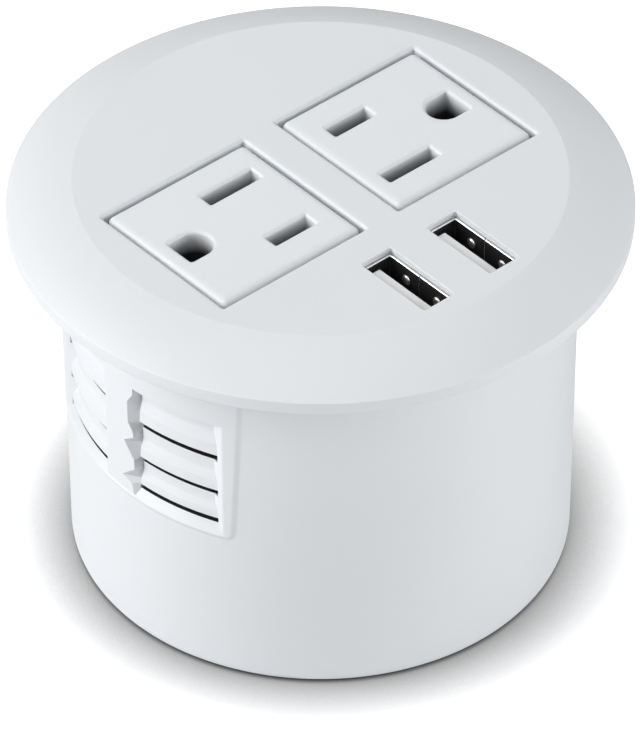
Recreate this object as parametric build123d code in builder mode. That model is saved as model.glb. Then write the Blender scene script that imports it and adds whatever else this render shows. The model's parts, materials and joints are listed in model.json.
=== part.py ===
from build123d import *
from math import sqrt
import os

os.makedirs("parts", exist_ok=True)

# Overall sizes of the module, in millimetres. The base stands on z = 0 and the mains outlets lie along X.
module_height = 64.0
flange_radius = 44.5
flat_radius = 35.1
bevel_drop = 4.4
bevel_bulge = 0.35
rim_thickness = 2.2
rim_round = 0.5
cup_top_radius = 36.95
cup_base_radius = 36.4
cup_wall = 2.0
cup_floor = 2.4
cup_base_round = 1.6
plate_thickness = 2.5
spigot_depth = 3.0
spigot_wall = 1.6

# Clearances shared by the fits.
slide_clearance = 0.3
seat_clearance = 0.15
thread_clearance = 0.05

# Mains outlets.
outlet_offset = 16.15
face_side = 25.4
face_gap = 0.4
face_depth = 10.0
face_round = 1.0
face_corner = 2.0
face_lip_overhang = 1.5
face_lip_thickness = 1.6
pocket_wall = 1.6
pocket_round = 0.8
slot_line = 4.75
slot_spacing = 12.7
slot_width = 2.3
neutral_slot_length = 8.6
hot_slot_length = 6.8
earth_distance = 11.9
earth_hole_radius = 2.6
earth_flat_distance = 2.8
slot_round = 0.7

# USB outlets.
usb_offset = 6.1
usb_line = -25.2
usb_hole_width = 5.5
usb_hole_length = 13.2
usb_skirt_wall = 0.8
usb_skirt_depth = 3.5
shell_thickness = 0.35
shell_length = 12.9
shell_width = 5.2
shell_recess = 0.5
shell_depth = 14.1
tongue_thickness = 1.9
tongue_width = 11.1
tongue_recess = 1.4
tongue_wall_gap = 0.15
spring_radius = 0.85
spring_height = 0.5
spring_flat = 0.1
spring_depth = 1.6
spring_spacing = 6.4
spring_shift = -0.5
seam_width = 0.2
tongue_base_height = 2.0
contact_width = 1.0
contact_thickness = 0.15
contact_length = 8.0
contact_spacing = 2.3
contact_count = 4

# Louvred vents in the wall of the cup, one group on the -X side and one on the +X side. Depths are
# measured in from the face of the raised pad, and drops down from the top of the vent.
vent_turn = -2.2
vent_drop = 10.8
vent_height = 20.2
vent_edge_angle = 26.0
vent_bevel_angle = 3.2
vent_bevel_depth = 1.65
mullion_half_angle = 3.7
mullion_line = (
    (2.05, 0.0),
    (2.05, 2.5),
    (0.55, 3.4),
    (0.55, 7.3),
    (2.05, 9.1),
    (0.1, 10.75),
    (2.05, 14.8),
    (2.05, 15.7),
    (0.1, 17.6),
)
sill_rise = 1.3
sill_depth = 1.1
pad_half_angle = 32.6
pad_rise = 0.35
pad_margin = 0.6
frame_margin = 2.6
frame_depth = 4.2
blade_thickness = 1.0
blade_top_depth = 1.65
blade_nose_depth = 0.8
blade_bulge = 0.2
blade_drops = (6.2, 12.73, 17.93)
blade_gaps = (1.8, 1.5)
blade_end_overlap = 0.6
cut_margin = 1.0

# Screws and the posts that take them.
post_circle = 30.0
post_angles = (90, 222, 318)
post_joint_height = 12.0
post_radius = 3.2
floor_post_radius = 3.7
case_screw_radius = 1.5
case_screw_head_radius = 2.8
case_screw_head_height = 2.0
case_screw_head_depth = 3.0
case_screw_reach = 12.0
screw_end_room = 1.0
drive_length_share = 0.7
drive_width_share = 0.125

# Contact carrier and its bars.
carrier_end_gap = 0.95
carrier_width = 25.0
carrier_height = 13.0
carrier_wall = 1.6
carrier_floor = 2.0
ear_side = 6.4
ear_thickness = 3.0
ear_x = 14.0
ear_y = 18.0
carrier_boss_radius = 2.6
small_screw_radius = 1.0
small_screw_head_radius = 1.9
small_screw_head_height = 1.4
small_screw_reach = 6.0
bar_thickness = 0.8
bar_width = 6.0
leaf_thickness = 0.4
leaf_gap = 1.3
leaf_height = 7.3
hot_leaf_length = 5.6
neutral_leaf_length = 7.0
insulator_thickness = 1.2
insulator_length = 34.0
insulator_clearance = 0.5
strap_thickness = 1.0
strap_width = 8.0
earth_leaf_gap = 4.3
earth_leaf_length = 5.0
earth_leaf_top_gap = 1.0
tab_overhang = 3.9
tab_width = 6.0
ledge_width = 8.0
ledge_length = 6.6
ledge_height = 4.0
terminal_screw_radius = 1.5
terminal_screw_head_radius = 2.6
terminal_screw_head_height = 1.8
terminal_screw_reach = 3.4

# Boards and what stands on them.
board_thickness = 1.6
usb_board_half_width = 10.6
usb_board_front = -32.2
usb_board_back = -18.0
usb_boss_radius = 2.3
usb_screw_y = (-20.5, -30.0)
power_board_width = 34.0
power_board_front = -27.0
power_board_back = 9.0
power_board_lift = 5.6
standoff_radius = 2.4
standoff_inset = 3.0
transformer_x = -6.0
transformer_y = -9.0
transformer_length = 18.0
transformer_width = 16.0
transformer_height = 15.0
core_depth = 10.0
core_limb = 3.0
core_window = 3.5
winding_clearance = 0.3
bulk_x = 10.5
bulk_y = -4.5
bulk_radius = 5.0
bulk_headroom = 10.8
output_x = 12.6
output_ys = (-12.6, -19.0)
output_radius = 3.15
output_height = 11.0
film_x = -4.5
film_y = 3.2
film_length = 10.0
film_width = 6.0
film_height = 11.0
fuse_x = 5.9
fuse_y = 4.6
fuse_length = 8.4
fuse_width = 4.0
fuse_height = 8.0
rectifier_x = -7.0
rectifier_y = -21.6
rectifier_length = 8.0
rectifier_width = 6.4
rectifier_height = 3.0
choke_x = 3.2
choke_y = -20.6
choke_radius = 3.5
choke_core_radius = 1.8
choke_height = 8.0
choke_cheek = 1.0
component_round = 0.6

# Leads inside the cup.
mains_lead_radius = 0.9
mains_lead_height = 20.0
mains_lead_bend = 6.0
mains_lead_landing = 7.6
mains_lead_gap = 1.4
usb_lead_radius = 0.75
usb_lead_x = 2.5
usb_lead_y = -25.8

# Cord inlet in the floor of the cup. The cord itself isn't part of the model.
gland_y = 15.5
gland_bore_radius = 4.1
gland_neck_radius = 5.8
gland_flange_radius = 8.0
gland_flange_thickness = 2.0
gland_recess = 0.4
clamp_post_x = 11.6
clamp_post_radius = 3.0
clamp_post_top = 10.0
collar_width = 6.0
collar_radius = 6.4
collar_thickness = 4.0

# Levels worked out from the sizes above.
plate_underside = module_height - plate_thickness
rim_underside = module_height - bevel_drop - rim_thickness
cup_slope = (cup_top_radius - cup_base_radius) / rim_underside
cup_bore_radius = cup_top_radius - cup_wall
bore_slope = (cup_top_radius - cup_base_radius) / (rim_underside - cup_floor)
spigot_radius = cup_bore_radius - bore_slope * spigot_depth - slide_clearance
pocket_side = face_side + 2 * face_gap
pocket_foot = module_height - face_depth
carrier_top = pocket_foot - face_lip_thickness
carrier_base = carrier_top - carrier_height
bar_level = carrier_base + carrier_floor
insulator_level = bar_level + bar_thickness
neutral_level = insulator_level + insulator_thickness
strap_level = carrier_base - strap_thickness
usb_board_top = module_height - shell_recess - shell_depth
usb_board_level = usb_board_top - board_thickness
power_board_level = cup_floor + power_board_lift
power_board_top = power_board_level + board_thickness
power_board_middle = (power_board_front + power_board_back) / 2
usb_board_middle = (usb_board_front + usb_board_back) / 2
slot_side = slot_spacing / 2
vent_top = rim_underside - vent_drop
vent_sill = vent_top - vent_height
blade_noses = [vent_top - drop for drop in blade_drops]
frame_radius = cup_base_radius + cup_slope * vent_sill - frame_depth
carrier_length = 2 * (sqrt(frame_radius**2 - (carrier_width / 2) ** 2) - carrier_end_gap)
ledge_reach = carrier_width / 2 + ledge_length
tab_reach = ledge_reach + tab_overhang
mains_lead_line = ledge_reach + mains_lead_radius + mains_lead_gap
bulk_height = strap_level - power_board_top - bulk_headroom
sides = (("left", -1), ("right", 1))


def upright_plane(angle):
    """Plane that holds the Z axis, with its own x pointing outwards at the given angle about Z."""
    outwards = Vector(1, 0, 0).rotate(Axis.Z, angle)
    across = Vector(0, -1, 0).rotate(Axis.Z, angle)
    return Plane(origin=(0, 0, 0), x_dir=outwards, z_dir=across)


def outlet_plane(side, level):
    """Plane of one outlet at a level, turned so that its own -x always points away from the middle."""
    return Plane(origin=(side * outlet_offset, 0, level), x_dir=(-side, 0, 0), z_dir=(0, 0, 1))


def post_locations(level):
    """Places of the three case posts at a level."""
    return [Location(Vector(post_circle, 0, level).rotate(Axis.Z, angle)) for angle in post_angles]


def slot_centre(side, name):
    """Middle of a blade slot or earth hole of one outlet, seen from above."""
    local = {
        "neutral": (slot_line, slot_side),
        "hot": (slot_line, -slot_side),
        "earth": (slot_line - earth_distance, 0),
    }[name]
    return (side * outlet_offset - side * local[0], -side * local[1])


# Top plate: one moulding with the bevelled flange, the outlet pockets, the USB wells and the posts.
with BuildPart() as top_plate:
    with BuildSketch(Plane.XZ):
        with BuildLine():
            bevel_start = (flat_radius, module_height)
            bevel_end = (flange_radius, module_height - bevel_drop)
            bevel_middle = (
                (flat_radius + flange_radius) / 2 + bevel_bulge,
                module_height - bevel_drop / 2 + bevel_bulge,
            )
            Line((0, module_height), bevel_start)
            ThreePointArc(bevel_start, bevel_middle, bevel_end)
            Polyline(
                bevel_end,
                (flange_radius, rim_underside),
                (spigot_radius, rim_underside),
                (spigot_radius, rim_underside - spigot_depth),
                (spigot_radius - spigot_wall, rim_underside - spigot_depth),
                (spigot_radius - spigot_wall, plate_underside),
                (0, plate_underside),
                (0, module_height),
            )
        make_face()
    revolve(axis=Axis.Z)
    rim_edges = top_plate.edges().filter_by(GeomType.CIRCLE).sort_by(SortBy.RADIUS)[-2:]
    fillet(rim_edges, radius=rim_round)
    with BuildSketch(Plane.XY.offset(pocket_foot)):
        with Locations((-outlet_offset, 0), (outlet_offset, 0)):
            Rectangle(pocket_side + 2 * pocket_wall, pocket_side + 2 * pocket_wall)
    extrude(until=Until.NEXT)
    with BuildSketch(Plane.XY.offset(plate_underside - usb_skirt_depth)):
        with Locations((-usb_offset, usb_line), (usb_offset, usb_line)):
            Rectangle(usb_hole_width + 2 * usb_skirt_wall, usb_hole_length + 2 * usb_skirt_wall)
    extrude(until=Until.NEXT)
    with BuildSketch(Plane.XY.offset(post_joint_height)):
        with Locations(post_locations(0)):
            Circle(post_radius)
    extrude(amount=plate_underside - post_joint_height + plate_thickness / 2)
    with BuildSketch(Plane.XY.offset(carrier_top)):
        with GridLocations(2 * ear_x, 2 * ear_y, 2, 2):
            Circle(carrier_boss_radius)
    extrude(amount=plate_underside - carrier_top + plate_thickness / 2)
    with BuildSketch(Plane.XY.offset(usb_board_top)):
        with Locations(*[(0, y) for y in usb_screw_y]):
            Circle(usb_boss_radius)
    extrude(amount=plate_underside - usb_board_top + plate_thickness / 2)
    with BuildSketch(Plane.XY.offset(pocket_foot)):
        with Locations((-outlet_offset, 0), (outlet_offset, 0)):
            Rectangle(pocket_side, pocket_side)
    extrude(amount=face_depth, mode=Mode.SUBTRACT)
    fillet(top_plate.edges().filter_by(GeomType.LINE).group_by(Axis.Z)[-1], radius=pocket_round)
    with BuildSketch(Plane.XY.offset(plate_underside - usb_skirt_depth)):
        with Locations((-usb_offset, usb_line), (usb_offset, usb_line)):
            Rectangle(usb_hole_width, usb_hole_length)
    extrude(amount=plate_thickness + usb_skirt_depth, mode=Mode.SUBTRACT)
    with Locations(*[Location(place.position, (180, 0, 0)) for place in post_locations(post_joint_height)]):
        Hole(case_screw_radius + thread_clearance, depth=case_screw_reach + screw_end_room)
    with Locations(Location((0, 0, carrier_top), (180, 0, 0))):
        with GridLocations(2 * ear_x, 2 * ear_y, 2, 2):
            Hole(small_screw_radius + thread_clearance, depth=small_screw_reach)
    with Locations(*[Location((0, y, usb_board_top), (180, 0, 0)) for y in usb_screw_y]):
        Hole(small_screw_radius + thread_clearance, depth=small_screw_reach)
top_plate.part.label = "top_plate"
export_step(top_plate.part, "parts/top_plate.step")


# Housing cup: one moulding with the floor, the screw posts, the standoffs and the louvres.
def cup_radius_at(level):
    """Outside radius of the tapered cup at a level."""
    return cup_base_radius + cup_slope * level


def pad_face(depth, level):
    """Radius and height of a point at a depth behind the face of a vent's pad."""
    return (cup_radius_at(level) + pad_rise - depth, level)


blade_tops = [vent_top] + [nose - gap for nose, gap in zip(blade_noses, blade_gaps)]
vent_half_angle = vent_edge_angle + vent_bevel_angle
facings = (vent_turn, 180 + vent_turn)
sill_line = [pad_face(sill_depth, vent_sill + sill_rise), pad_face(0, vent_sill)]
vent_cut_radius = max(pad_face(-cut_margin, vent_top)[0], pad_face(-cut_margin, vent_sill)[0])

with BuildPart() as housing_cup:
    with BuildSketch(Plane.XZ):
        with BuildLine():
            Polyline(
                (0, 0),
                (cup_base_radius, 0),
                (cup_top_radius, rim_underside),
                (cup_bore_radius, rim_underside),
                (cup_base_radius - cup_wall, cup_floor),
                (0, cup_floor),
                (0, 0),
            )
        make_face()
    revolve(axis=Axis.Z)
    base_edge = housing_cup.edges().filter_by(GeomType.CIRCLE).group_by(Axis.Z)[0]
    fillet(base_edge, radius=cup_base_round)

    # Raised pad round each vent, up to the flange, and the thicker frame behind it.
    pad_foot = vent_sill - pad_margin
    frame_head = vent_top + frame_margin
    pad_back = [cup_radius_at(level) - cup_wall / 2 for level in (pad_foot, rim_underside)]
    frame_back = [frame_radius, frame_radius]
    for facing in facings:
        for (foot_radius, head_radius), head in ((pad_back, rim_underside), (frame_back, frame_head)):
            with BuildSketch(upright_plane(facing - pad_half_angle)):
                with BuildLine():
                    Polyline(
                        (foot_radius, pad_foot),
                        pad_face(0, pad_foot),
                        pad_face(0, head),
                        (head_radius, head),
                        (foot_radius, pad_foot),
                    )
                make_face()
            revolve(axis=Axis.Z, revolution_arc=2 * pad_half_angle)

    # Two windows in each pad, either side of the mullion, bevelled at their outer ends over a sloping sill.
    for facing in facings:
        for start in (facing - vent_edge_angle, facing + mullion_half_angle):
            with BuildSketch(upright_plane(start)):
                with BuildLine():
                    Polyline(
                        (frame_radius - cut_margin, vent_sill + sill_rise),
                        *sill_line,
                        (vent_cut_radius, vent_sill),
                        (vent_cut_radius, vent_top),
                        (frame_radius - cut_margin, vent_top),
                        (frame_radius - cut_margin, vent_sill + sill_rise),
                    )
                make_face()
            revolve(axis=Axis.Z, revolution_arc=vent_edge_angle - mullion_half_angle, mode=Mode.SUBTRACT)
        for side in (-1, 1):
            face_radius = pad_face(0, vent_top)[0]
            inner_corner = Vector(face_radius - vent_bevel_depth, 0).rotate(Axis.Z, side * vent_edge_angle)
            outer_corner = Vector(face_radius + pad_rise, 0).rotate(Axis.Z, side * vent_half_angle)
            third_angle = vent_edge_angle - vent_bevel_angle / 2
            third_corner = Vector(face_radius + pad_rise, 0).rotate(Axis.Z, side * third_angle)
            with BuildSketch(Plane.XY.offset(vent_sill)):
                with BuildLine():
                    corners = (inner_corner, outer_corner, third_corner)
                    Polyline(*[corner.rotate(Axis.Z, facing) for corner in corners], close=True)
                make_face()
            extrude(amount=vent_top - vent_sill, mode=Mode.SUBTRACT)

    # Louvre blades: each slopes from its deep top edge out to its nose, with an open gap under the nose.
    blade_arc = vent_half_angle - mullion_half_angle
    for facing in facings:
        for blade_start in (facing - vent_half_angle, facing + mullion_half_angle - blade_end_overlap):
            for top, nose in zip(blade_tops, blade_noses):
                top_radius = pad_face(blade_top_depth, top)[0]
                nose_radius = pad_face(blade_nose_depth, nose)[0]
                middle_radius = (top_radius + nose_radius) / 2 - blade_bulge
                with BuildSketch(upright_plane(blade_start)):
                    with BuildLine():
                        ThreePointArc(
                            (top_radius, top), (middle_radius, (top + nose) / 2), (nose_radius, nose)
                        )
                        Line((nose_radius, nose), (nose_radius - blade_thickness, nose))
                        ThreePointArc(
                            (nose_radius - blade_thickness, nose),
                            (middle_radius - blade_thickness, (top + nose) / 2),
                            (top_radius - blade_thickness, top),
                        )
                        Line((top_radius - blade_thickness, top), (top_radius, top))
                    make_face()
                revolve(axis=Axis.Z, revolution_arc=blade_arc + blade_end_overlap)

    # Toothed front of the mullion: one tooth in line with each blade.
    for facing in facings:
        with BuildSketch(upright_plane(facing - mullion_half_angle)):
            with BuildLine():
                Polyline(
                    (vent_cut_radius, vent_top),
                    *[pad_face(depth, vent_top - drop) for depth, drop in mullion_line],
                    *sill_line,
                    (vent_cut_radius, vent_sill),
                    (vent_cut_radius, vent_top),
                )
            make_face()
        revolve(axis=Axis.Z, revolution_arc=2 * mullion_half_angle, mode=Mode.SUBTRACT)

    # Posts and standoffs on the floor.
    with BuildSketch(Plane.XY.offset(cup_floor / 2)):
        with Locations(post_locations(0)):
            Circle(floor_post_radius)
    extrude(amount=post_joint_height - cup_floor / 2)
    with BuildSketch(Plane.XY.offset(cup_floor / 2)):
        with Locations((0, power_board_middle)):
            with GridLocations(
                power_board_width - 2 * standoff_inset,
                power_board_back - power_board_front - 2 * standoff_inset,
                2,
                2,
            ):
                Circle(standoff_radius)
    extrude(amount=power_board_level - cup_floor / 2)
    with BuildSketch(Plane.XY.offset(cup_floor / 2)):
        with Locations((-clamp_post_x, gland_y), (clamp_post_x, gland_y)):
            Circle(clamp_post_radius)
    extrude(amount=clamp_post_top - cup_floor / 2)

    # Screw holes, and the hole for the cord bush.
    with Locations(*[Location(place.position, (180, 0, 0)) for place in post_locations(0)]):
        CounterBoreHole(
            case_screw_radius + seat_clearance,
            case_screw_head_radius + slide_clearance,
            case_screw_head_depth,
            depth=post_joint_height,
        )
    with Locations(Location((0, power_board_middle, power_board_level))):
        with GridLocations(
            power_board_width - 2 * standoff_inset,
            power_board_back - power_board_front - 2 * standoff_inset,
            2,
            2,
        ):
            Hole(small_screw_radius + thread_clearance, depth=power_board_lift)
    with Locations((-clamp_post_x, gland_y, clamp_post_top), (clamp_post_x, gland_y, clamp_post_top)):
        Hole(small_screw_radius + thread_clearance, depth=small_screw_reach)
    with Locations((0, gland_y, cup_floor)):
        Hole(gland_neck_radius + seat_clearance, depth=cup_floor)
housing_cup.part.label = "housing_cup"
export_step(housing_cup.part, "parts/housing_cup.step")


# Outlet faces: moulded inserts pushed up into the pockets from below, with a lip that stops them.
for name, side in sides:
    with BuildPart() as outlet_face:
        with BuildSketch(outlet_plane(side, carrier_top)):
            Rectangle(pocket_side + 2 * face_lip_overhang, pocket_side + 2 * face_lip_overhang)
        extrude(amount=face_lip_thickness)
        with BuildSketch(outlet_plane(side, pocket_foot)):
            RectangleRounded(face_side, face_side, face_corner)
        extrude(amount=face_depth)
        rim = outlet_face.faces().sort_by(Axis.Z)[-1].outer_wire().edges()
        fillet(rim, radius=face_round)
        with BuildSketch(outlet_plane(side, carrier_top)):
            with Locations((slot_line, slot_side)):
                Rectangle(neutral_slot_length, slot_width)
            with Locations((slot_line, -slot_side)):
                Rectangle(hot_slot_length, slot_width)
            with Locations((slot_line - earth_distance, 0)):
                Circle(earth_hole_radius)
            with Locations((slot_line - earth_distance - earth_flat_distance / 2, 0)):
                Rectangle(earth_flat_distance, 2 * earth_hole_radius)
        extrude(amount=face_lip_thickness + face_depth, mode=Mode.SUBTRACT)
        mouths = outlet_face.faces().sort_by(Axis.Z)[-1].inner_wires().edges()
        fillet(mouths, radius=slot_round)
    outlet_face.part.label = f"outlet_face_{name}"
    export_step(outlet_face.part, f"parts/outlet_face_{name}.step")


# Contact carrier: an open tray screwed up against the lips of the two faces, with a ledge for each terminal.
neutral_x = slot_centre(-1, "neutral")[0]
hot_x = slot_centre(1, "hot")[0]
contact_y = slot_side
screw_y = ledge_reach - ledge_length / 2
with BuildPart() as contact_carrier:
    with BuildSketch(Plane.XY.offset(carrier_base)):
        Rectangle(carrier_length, carrier_width)
    extrude(amount=carrier_height)
    with BuildSketch(Plane.XY.offset(carrier_top - ear_thickness)):
        with GridLocations(2 * ear_x, 2 * ear_y, 2, 2):
            Rectangle(ear_side, ear_side)
        with GridLocations(2 * ear_x, carrier_width / 2 - carrier_wall + ear_y, 2, 2):
            Rectangle(ear_side, ear_y - carrier_width / 2 + carrier_wall)
    extrude(amount=ear_thickness)
    for x, level in ((hot_x, bar_level), (neutral_x, neutral_level)):
        with BuildSketch(Plane.XY.offset(level - ledge_height)):
            with Locations((x, screw_y - carrier_wall / 2)):
                Rectangle(ledge_width, ledge_length + carrier_wall)
        extrude(amount=ledge_height)
    with BuildSketch(Plane.XY.offset(carrier_base)):
        with Locations((0, screw_y - carrier_wall / 2)):
            Rectangle(ledge_width, ledge_length + carrier_wall)
    extrude(amount=ledge_height)
    with BuildSketch(Plane.XY.offset(bar_level)):
        Rectangle(carrier_length - 2 * carrier_wall, carrier_width - 2 * carrier_wall)
    extrude(amount=carrier_height - carrier_floor, mode=Mode.SUBTRACT)
    for x, level in ((hot_x, bar_level), (neutral_x, neutral_level)):
        with BuildSketch(Plane.XY.offset(level)):
            with Locations((x, carrier_width / 2)):
                Rectangle(tab_width + 2 * slide_clearance, 4 * carrier_wall)
        extrude(amount=bar_thickness + slide_clearance, mode=Mode.SUBTRACT)
    with BuildSketch(Plane.XY.offset(carrier_base)):
        with Locations(slot_centre(-1, "earth"), slot_centre(1, "earth")):
            Rectangle(
                earth_leaf_length + 2 * slide_clearance,
                earth_leaf_gap + 2 * leaf_thickness + 2 * slide_clearance,
            )
    extrude(amount=carrier_floor, mode=Mode.SUBTRACT)
    with Locations((0, 0, carrier_top)):
        with GridLocations(2 * ear_x, 2 * ear_y, 2, 2):
            Hole(small_screw_radius + seat_clearance, depth=ear_thickness)
    with Locations((hot_x, screw_y, bar_level), (neutral_x, screw_y, neutral_level)):
        Hole(terminal_screw_radius + thread_clearance, depth=terminal_screw_reach + slide_clearance)
    with Locations(Location((0, screw_y, carrier_base), (180, 0, 0))):
        Hole(terminal_screw_radius + thread_clearance, depth=terminal_screw_reach + slide_clearance)
contact_carrier.part.label = "contact_carrier"
export_step(contact_carrier.part, "parts/contact_carrier.step")


def blade_bar(name, level, tab_side, leaf_length):
    """Stamped bar that joins the two like blade contacts, with a screw tab on one side."""
    ends = [slot_centre(-1, name), slot_centre(1, name)]
    span = Vector(*ends[1]) - Vector(*ends[0])
    slant = Vector(1, 0, 0).get_signed_angle(span, Vector(0, 0, 1))
    with BuildPart() as bar:
        with BuildSketch(Plane.XY.offset(level)):
            Rectangle(span.length, bar_width, rotation=slant)
            with Locations(*ends):
                Rectangle(leaf_length, bar_width)
            with Locations((tab_side, (contact_y + tab_reach) / 2)):
                Rectangle(tab_width, tab_reach - contact_y)
        extrude(amount=bar_thickness)
        with BuildSketch(Plane.XY.offset(level)):
            with Locations(*ends):
                with GridLocations(1, leaf_gap + leaf_thickness, 1, 2):
                    Rectangle(leaf_length, leaf_thickness)
        extrude(amount=bar_thickness + leaf_height)
        with Locations((tab_side, screw_y, level + bar_thickness)):
            Hole(terminal_screw_radius + seat_clearance, depth=bar_thickness)
    return bar.part


hot_bar = blade_bar("hot", bar_level, hot_x, hot_leaf_length)
hot_bar.label = "hot_bar"
export_step(hot_bar, "parts/hot_bar.step")
neutral_bar = blade_bar("neutral", neutral_level, neutral_x, neutral_leaf_length)
neutral_bar.label = "neutral_bar"
export_step(neutral_bar, "parts/neutral_bar.step")


# Insulating plate between the two bars, with windows for the hot contacts.
with BuildPart() as bar_insulator:
    with BuildSketch(Plane.XY.offset(insulator_level)):
        Rectangle(insulator_length, carrier_width - 2 * carrier_wall - 2 * insulator_clearance)
        with Locations(slot_centre(-1, "hot"), slot_centre(1, "hot")):
            Rectangle(
                hot_leaf_length + 2 * slide_clearance,
                leaf_gap + 2 * leaf_thickness + 2 * slide_clearance,
                mode=Mode.SUBTRACT,
            )
    extrude(amount=insulator_thickness)
bar_insulator.part.label = "bar_insulator"
export_step(bar_insulator.part, "parts/bar_insulator.step")


# Earth strap: lies under the carrier, and its contacts stand up through windows in the carrier's floor.
with BuildPart() as earth_strap:
    earth_ends = [slot_centre(-1, "earth"), slot_centre(1, "earth")]
    with BuildSketch(Plane.XY.offset(strap_level)):
        Rectangle(earth_ends[1][0] - earth_ends[0][0] + earth_leaf_length, strap_width)
        with Locations((0, ledge_reach / 2)):
            Rectangle(tab_width, ledge_reach)
    extrude(amount=strap_thickness)
    with BuildSketch(Plane.XY.offset(strap_level)):
        with Locations(*earth_ends):
            with GridLocations(1, earth_leaf_gap + leaf_thickness, 1, 2):
                Rectangle(earth_leaf_length, leaf_thickness)
    extrude(amount=carrier_top - earth_leaf_top_gap - strap_level)
    with Locations((0, screw_y, carrier_base)):
        Hole(terminal_screw_radius + seat_clearance, depth=strap_thickness)
earth_strap.part.label = "earth_strap"
export_step(earth_strap.part, "parts/earth_strap.step")


def screw_set(places, shank_radius, reach, head_radius, head_height):
    """Like screws, each with its head standing on the +z side of its place and its shank below it."""
    drive_length = 2 * drive_length_share * head_radius
    drive_width = 2 * drive_width_share * head_radius
    with BuildPart() as screws:
        with Locations(*places):
            Cylinder(
                shank_radius, reach, align=(Align.CENTER, Align.CENTER, Align.MAX), mode=Mode.ADD
            )
            Cylinder(
                head_radius, head_height, align=(Align.CENTER, Align.CENTER, Align.MIN), mode=Mode.ADD
            )
            slot_depth = head_height / 2
            with Locations((0, 0, head_height - slot_depth)):
                Box(
                    drive_length,
                    drive_width,
                    slot_depth,
                    align=(Align.CENTER, Align.CENTER, Align.MIN),
                    mode=Mode.SUBTRACT,
                )
                Box(
                    drive_width,
                    drive_length,
                    slot_depth,
                    align=(Align.CENTER, Align.CENTER, Align.MIN),
                    mode=Mode.SUBTRACT,
                )
    return screws.part


case_screws = screw_set(
    [Location(place.position, (180, 0, 0)) for place in post_locations(case_screw_head_depth)],
    case_screw_radius,
    post_joint_height - case_screw_head_depth + case_screw_reach,
    case_screw_head_radius,
    case_screw_head_height,
)
case_screws.label = "case_screws"
export_step(case_screws, "parts/case_screws.step")

carrier_screws = screw_set(
    [
        Location((x, y, carrier_top - ear_thickness), (180, 0, 0))
        for x in (-ear_x, ear_x)
        for y in (-ear_y, ear_y)
    ],
    small_screw_radius,
    ear_thickness + small_screw_reach - screw_end_room,
    small_screw_head_radius,
    small_screw_head_height,
)
carrier_screws.label = "carrier_screws"
export_step(carrier_screws, "parts/carrier_screws.step")

terminal_screws = screw_set(
    [
        Location((hot_x, screw_y, bar_level + bar_thickness)),
        Location((neutral_x, screw_y, neutral_level + bar_thickness)),
        Location((0, screw_y, strap_level), (180, 0, 0)),
    ],
    terminal_screw_radius,
    terminal_screw_reach,
    terminal_screw_head_radius,
    terminal_screw_head_height,
)
terminal_screws.label = "terminal_screws"
export_step(terminal_screws, "parts/terminal_screws.step")

usb_board_screws = screw_set(
    [Location((0, y, usb_board_level), (180, 0, 0)) for y in usb_screw_y],
    small_screw_radius,
    board_thickness + small_screw_reach - screw_end_room,
    small_screw_head_radius,
    small_screw_head_height,
)
usb_board_screws.label = "usb_board_screws"
export_step(usb_board_screws, "parts/usb_board_screws.step")

power_board_screws = screw_set(
    [
        Location((x, y, power_board_top))
        for x in (standoff_inset - power_board_width / 2, power_board_width / 2 - standoff_inset)
        for y in (power_board_front + standoff_inset, power_board_back - standoff_inset)
    ],
    small_screw_radius,
    board_thickness + power_board_lift - screw_end_room,
    small_screw_head_radius,
    small_screw_head_height,
)
power_board_screws.label = "power_board_screws"
export_step(power_board_screws, "parts/power_board_screws.step")

collar_screws = screw_set(
    [Location((x, gland_y, clamp_post_top + collar_thickness)) for x in (-clamp_post_x, clamp_post_x)],
    small_screw_radius,
    collar_thickness + small_screw_reach - screw_end_room,
    small_screw_head_radius,
    small_screw_head_height,
)
collar_screws.label = "collar_screws"
export_step(collar_screws, "parts/collar_screws.step")


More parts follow.
